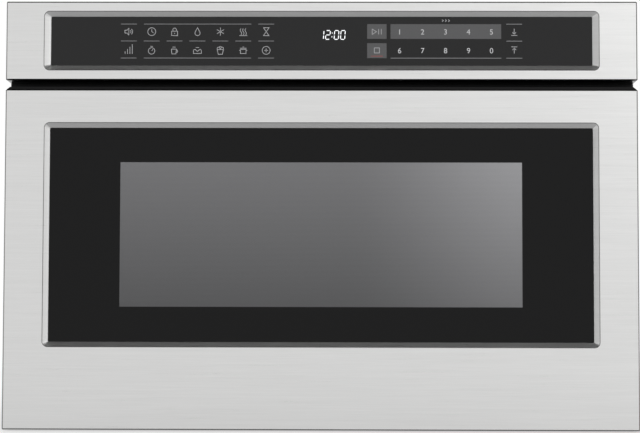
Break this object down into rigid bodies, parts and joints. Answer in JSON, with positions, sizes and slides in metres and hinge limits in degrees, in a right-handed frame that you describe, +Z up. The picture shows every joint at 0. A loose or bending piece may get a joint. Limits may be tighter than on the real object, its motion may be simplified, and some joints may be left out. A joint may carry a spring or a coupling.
{
  "type": "microwave drawer",
  "caption": "Built-in microwave drawer: stainless front with a black glass window, touch panel above, tub on telescopic slides with a rack drive.",
  "frame": {"origin": "on the underside of the base skids, below the middle of the overall width and depth", "axes": "+X to the right of someone facing the front, +Y from the front into the cabinet, +Z up"},
  "size_m": [0.6826, 0.629, 0.4638],
  "materials": {
    "stainless": "horizontal brushed grain",
    "black_glass": "polished, printed black behind",
    "clear_glass": "polished",
    "black_plastic": "fine moulded grain",
    "grey_plastic": "moulded",
    "white_plastic": "moulded",
    "black_enamel": "semi-gloss black",
    "zinc_sheet": "zinc-plated sheet",
    "cavity_paint": "grey enamel",
    "screen": "perforated, black",
    "tray_ceramic": "glazed",
    "aluminium_parts": "pressed",
    "laminated_core": "varnished laminations",
    "circuit": "solder mask",
    "gear_nylon": "natural",
    "screw_steel": "zinc-plated"
  },
  "bodies": {
    "cabinet": {"control_panel_bezel": "stainless", "control_glass": "black_glass", "control_board": "circuit", "panel_carrier": "black_plastic", "slide_cabinet_left": "zinc_sheet", "slide_cabinet_right": "zinc_sheet", "slide_support_left": "zinc_sheet", "slide_support_right": "zinc_sheet", "drive_gearbox": "grey_plastic", "motor_bracket": "zinc_sheet", "drive_motor": "screw_steel", "front_frame": "black_enamel", "base_plate": "zinc_sheet", "base_skids": "black_plastic", "outer_case": "zinc_sheet", "rear_cover": "zinc_sheet", "cord_gland": "black_plastic", "case_screws": "screw_steel", "oven_cavity": "cavity_paint", "stirrer_chamber": "zinc_sheet", "stirrer_cover": "white_plastic", "stirrer_motor": "screw_steel", "waveguide": "zinc_sheet", "magnetron": "aluminium_parts", "oven_lamp": "white_plastic", "thermal_cutout": "aluminium_parts", "exhaust_duct": "grey_plastic", "power_transformer": "laminated_core", "hv_capacitor": "aluminium_parts", "hv_diode": "black_plastic", "noise_filter_board": "circuit", "fan_shroud": "black_plastic", "fan_motor": "laminated_core", "latch_housing_left": "white_plastic", "latch_housing_right": "white_plastic", "interlock_switches": "black_plastic"},
    "drawer": {"door_skin": "stainless", "door_glass": "black_glass", "door_chassis": "black_plastic", "door_top_cap": "black_plastic", "screen_plate": "screen", "inner_glass": "clear_glass", "choke_cover": "black_plastic", "drawer_bracket_left": "zinc_sheet", "drawer_bracket_right": "zinc_sheet", "slide_drawer_left": "zinc_sheet", "slide_drawer_right": "zinc_sheet", "drive_rack": "gear_nylon", "latch_hooks": "black_plastic", "door_screws": "screw_steel", "tub_floor": "cavity_paint", "tub_side_left": "cavity_paint", "tub_side_right": "cavity_paint", "tub_rear_wall": "cavity_paint", "glass_tray": "tray_ceramic"},
    "left_middle_slide": {"slide_middle_left": "zinc_sheet"},
    "right_middle_slide": {"slide_middle_right": "zinc_sheet"},
    "pinion": {"drive_pinion": "gear_nylon"},
    "stirrer": {"stirrer_blade": "aluminium_parts"},
    "cooling_fan": {"fan_blade": "grey_plastic"}
  },
  "joints": [
    {"name": "drawer_slide", "type": "slide", "parent": "cabinet", "child": "drawer", "axis": [0, -1, 0], "range_m": [0, 0.38]},
    {"name": "left_middle_slide", "type": "slide", "parent": "cabinet", "child": "left_middle_slide", "axis": [0, -1, 0], "range_m": [0, 0.19]},
    {"name": "right_middle_slide", "type": "slide", "parent": "cabinet", "child": "right_middle_slide", "axis": [0, -1, 0], "range_m": [0, 0.19]},
    {"name": "pinion_turn", "type": "hinge", "parent": "cabinet", "child": "pinion", "pos_m": [0.27, -0.235, 0.036], "axis": [1, 0, 0], "range_deg": [0, 1210.1]},
    {"name": "stirrer_turn", "type": "hinge", "parent": "cabinet", "child": "stirrer", "pos_m": [0, -0.06, 0.31], "axis": [0, 0, 1], "continuous": true},
    {"name": "fan_turn", "type": "hinge", "parent": "cabinet", "child": "cooling_fan", "pos_m": [-0.17, 0.29, 0.16], "axis": [0, 1, 0], "continuous": true}
  ],
  "couplings": [
    {"joint": "left_middle_slide", "follows": "drawer_slide", "ratio": 0.5},
    {"joint": "right_middle_slide", "follows": "drawer_slide", "ratio": 0.5},
    {"joint": "pinion_turn", "follows": "drawer_slide", "rad_per_m": 55.556}
  ]
}
